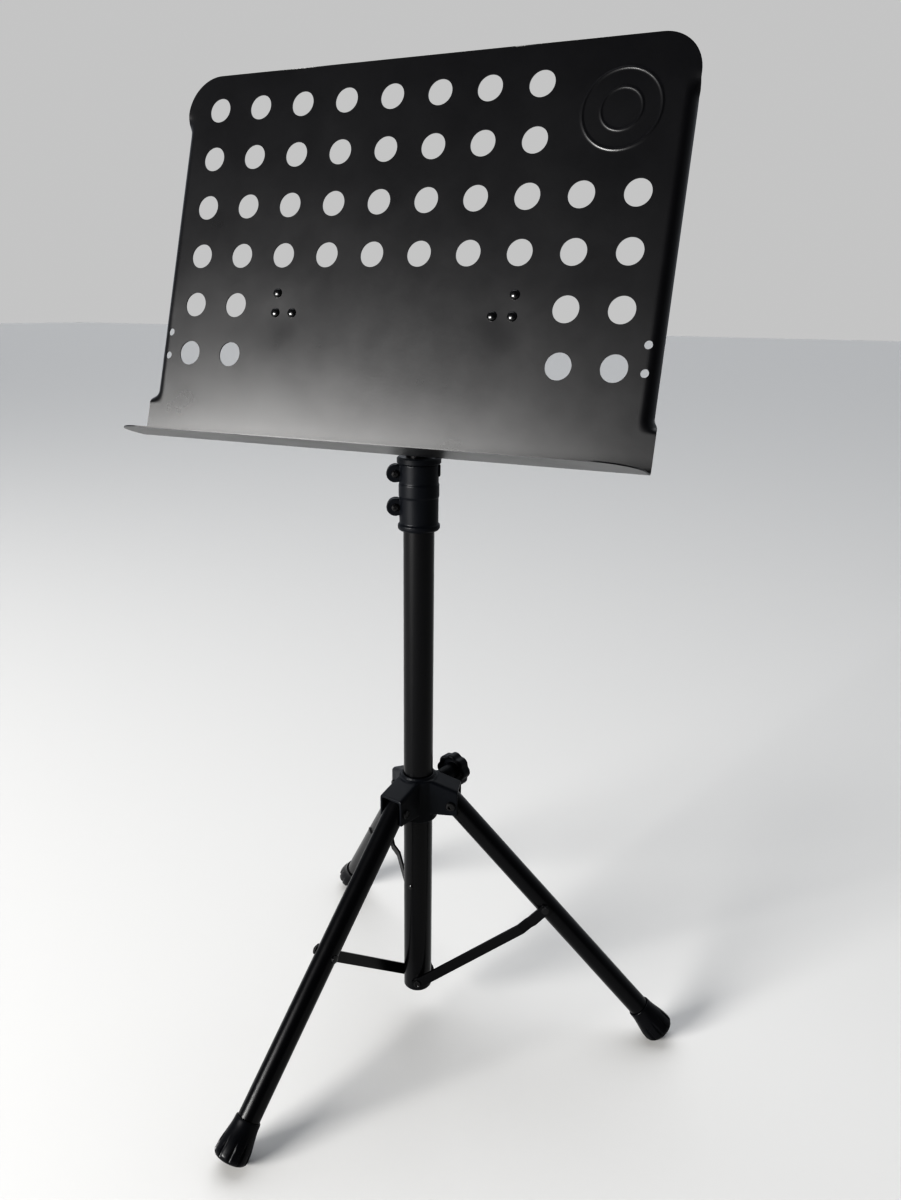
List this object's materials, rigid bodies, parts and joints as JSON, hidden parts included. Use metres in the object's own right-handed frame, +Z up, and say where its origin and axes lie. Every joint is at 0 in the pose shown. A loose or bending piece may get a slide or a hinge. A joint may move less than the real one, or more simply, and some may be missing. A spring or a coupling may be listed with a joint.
{
  "type": "music stand",
  "caption": "Folding music stand: perforated sheet desk with a ledge on a telescopic tilting column, with a tripod whose legs fold as the hub slides up.",
  "frame": {"origin": "on the floor, at the centre of the stand's overall box as it stands open", "axes": "+Z up along the column; the player stands on the -Y side and the desk faces them; +X runs along the desk to the player's right"},
  "size_m": [0.5092, 0.4696, 0.9605],
  "materials": {
    "coated_sheet": "satin",
    "coated_tube": "semi_gloss",
    "moulded_plastic": "fine_grain",
    "foot_rubber": "satin",
    "black_hardware": "gloss",
    "zinc_hardware": "satin"
  },
  "bodies": {
    "column": {"outer_tube": "coated_tube", "tube_end_plug": "moulded_plastic", "mast_stop_pin": "black_hardware", "column_brace_pins": "black_hardware", "clutch_collar": "moulded_plastic", "clutch_screws": "black_hardware", "clutch_nuts": "zinc_hardware"},
    "clutch": {"clutch_bush": "moulded_plastic"},
    "mast": {"inner_tube": "coated_tube", "mast_guide": "moulded_plastic", "tilt_head": "moulded_plastic", "tilt_washers": "moulded_plastic"},
    "desk": {"desk_plate": "coated_sheet", "desk_rivets": "black_hardware", "desk_bracket": "coated_sheet", "tilt_yoke": "coated_sheet", "yoke_rivets": "black_hardware", "tilt_bolt": "zinc_hardware", "knob_washer": "zinc_hardware"},
    "tilt_knob": {"tilt_knob": "moulded_plastic"},
    "hub": {"hub_body": "moulded_plastic", "leg_pivot_bolts": "black_hardware", "leg_pivot_nuts": "black_hardware"},
    "hub_knob": {"hub_knob": "moulded_plastic", "hub_clamp_screw": "black_hardware"},
    "leg_front": {"leg_front": "coated_tube", "leg_front_end_plug": "moulded_plastic", "leg_front_foot": "foot_rubber", "leg_front_rivet": "black_hardware"},
    "brace_front": {"brace_front": "coated_tube", "brace_front_rivet": "black_hardware"},
    "leg_right": {"leg_right": "coated_tube", "leg_right_end_plug": "moulded_plastic", "leg_right_foot": "foot_rubber", "leg_right_rivet": "black_hardware"},
    "brace_right": {"brace_right": "coated_tube", "brace_right_rivet": "black_hardware"},
    "leg_back": {"leg_back": "coated_tube", "leg_back_end_plug": "moulded_plastic", "leg_back_foot": "foot_rubber", "leg_back_rivet": "black_hardware"},
    "brace_back": {"brace_back": "coated_tube", "brace_back_rivet": "black_hardware"}
  },
  "joints": [
    {"name": "mast_swivel", "type": "hinge", "parent": "column", "child": "clutch", "pos_m": [-0.0138, 0.0363, 0.62], "axis": [0, 0, 1], "continuous": true},
    {"name": "mast_slide", "type": "slide", "parent": "clutch", "child": "mast", "axis": [0, 0, 1], "range_m": [-0.085, 0.319]},
    {"name": "desk_tilt", "type": "hinge", "parent": "mast", "child": "desk", "pos_m": [-0.0138, 0.0113, 0.7499], "axis": [-1, 0, 0], "range_deg": [-17, 68]},
    {"name": "tilt_knob_turn", "type": "hinge", "parent": "desk", "child": "tilt_knob", "pos_m": [-0.0138, 0.0113, 0.7499], "axis": [1, 0, 0], "range_deg": [0, 720]},
    {"name": "hub_slide", "type": "slide", "parent": "column", "child": "hub", "axis": [0, 0, 1], "range_m": [0, 0.10079]},
    {"name": "hub_knob_turn", "type": "hinge", "parent": "hub", "child": "hub_knob", "pos_m": [-0.00113, 0.08828, 0.2755], "axis": [0.2368, 0.9715, 0], "range_deg": [0, 720]},
    {"name": "leg_front_hinge", "type": "hinge", "parent": "hub", "child": "leg_front", "pos_m": [-0.02233, 0.00132, 0.267], "axis": [0.9715, -0.2368, 0], "range_deg": [0, 40.01]},
    {"name": "brace_front_hinge", "type": "hinge", "parent": "column", "child": "brace_front", "pos_m": [-0.01439, 0.03387, 0.047], "axis": [-0.9715, 0.2368, 0], "range_deg": [0, 39.04]},
    {"name": "leg_right_hinge", "type": "hinge", "parent": "hub", "child": "leg_right", "pos_m": [0.02075, 0.0464, 0.267], "axis": [-0.2807, 0.9598, 0], "range_deg": [0, 40.01]},
    {"name": "brace_right_hinge", "type": "hinge", "parent": "column", "child": "brace_right", "pos_m": [-0.0114, 0.037, 0.047], "axis": [0.2807, -0.9598, 0], "range_deg": [0, 39.04]},
    {"name": "leg_back_hinge", "type": "hinge", "parent": "hub", "child": "leg_back", "pos_m": [-0.03983, 0.06117, 0.267], "axis": [-0.6909, -0.723, 0], "range_deg": [0, 40.01]},
    {"name": "brace_back_hinge", "type": "hinge", "parent": "column", "child": "brace_back", "pos_m": [-0.01561, 0.03803, 0.047], "axis": [0.6909, 0.723, 0], "range_deg": [0, 39.04]}
  ],
  "couplings": [
    {"joint": "leg_front_hinge", "follows": "hub_slide", "rad_per_m": 6.9266},
    {"joint": "brace_front_hinge", "follows": "hub_slide", "rad_per_m": 6.7585},
    {"joint": "leg_right_hinge", "follows": "hub_slide", "rad_per_m": 6.9266},
    {"joint": "brace_right_hinge", "follows": "hub_slide", "rad_per_m": 6.7585},
    {"joint": "leg_back_hinge", "follows": "hub_slide", "rad_per_m": 6.9266},
    {"joint": "brace_back_hinge", "follows": "hub_slide", "rad_per_m": 6.7585}
  ]
}
